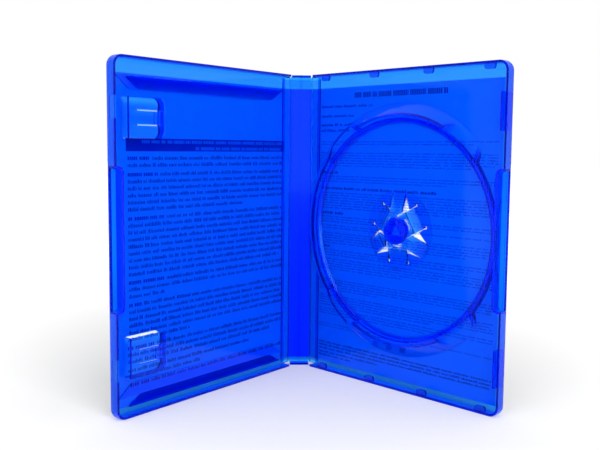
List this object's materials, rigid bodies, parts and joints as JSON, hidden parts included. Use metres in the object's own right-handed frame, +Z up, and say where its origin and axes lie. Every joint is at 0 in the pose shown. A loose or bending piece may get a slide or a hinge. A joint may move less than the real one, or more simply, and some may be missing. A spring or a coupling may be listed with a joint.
{
  "type": "game disc case",
  "caption": "Hinged plastic disc case standing open, with a disc well and push hub, booklet clips, a paper insert and a clear sleeve.",
  "frame": {"origin": "centre of the overall box at the level of the lower edges on which the open case stands", "axes": "+Z up along the spine, +X from the hinge towards the opening edge of the rear tray, +Y out of the back of the rear tray"},
  "size_m": [0.1446, 0.1444, 0.1715],
  "materials": {
    "shell": "clear glossy moulding",
    "paper": "coated print paper",
    "film": "clear film"
  },
  "bodies": {
    "rear": {"rear_tray": "shell", "insert_back": "paper", "sleeve_back": "film"},
    "middle": {"spine": "shell", "insert_spine": "paper", "sleeve_spine": "film"},
    "front": {"front_cover": "shell", "insert_front": "paper", "sleeve_front": "film"},
    "hub_boss": {"disc_release": "shell"}
  },
  "joints": [
    {"name": "rear_hinge", "type": "hinge", "parent": "rear", "child": "middle", "pos_m": [-0.06267, 0.07178, 0.08575], "axis": [0, 0, 1], "range_deg": [-48.75, 41.25]},
    {"name": "front_hinge", "type": "hinge", "parent": "middle", "child": "front", "pos_m": [-0.0719, 0.06125, 0.08575], "axis": [0, 0, 1], "range_deg": [-48.75, 41.25]},
    {"name": "boss_press", "type": "slide", "parent": "rear", "child": "hub_boss", "axis": [0, 1, 0], "range_m": [0, 0.0012], "stiffness_N_per_m": 8000}
  ]
}
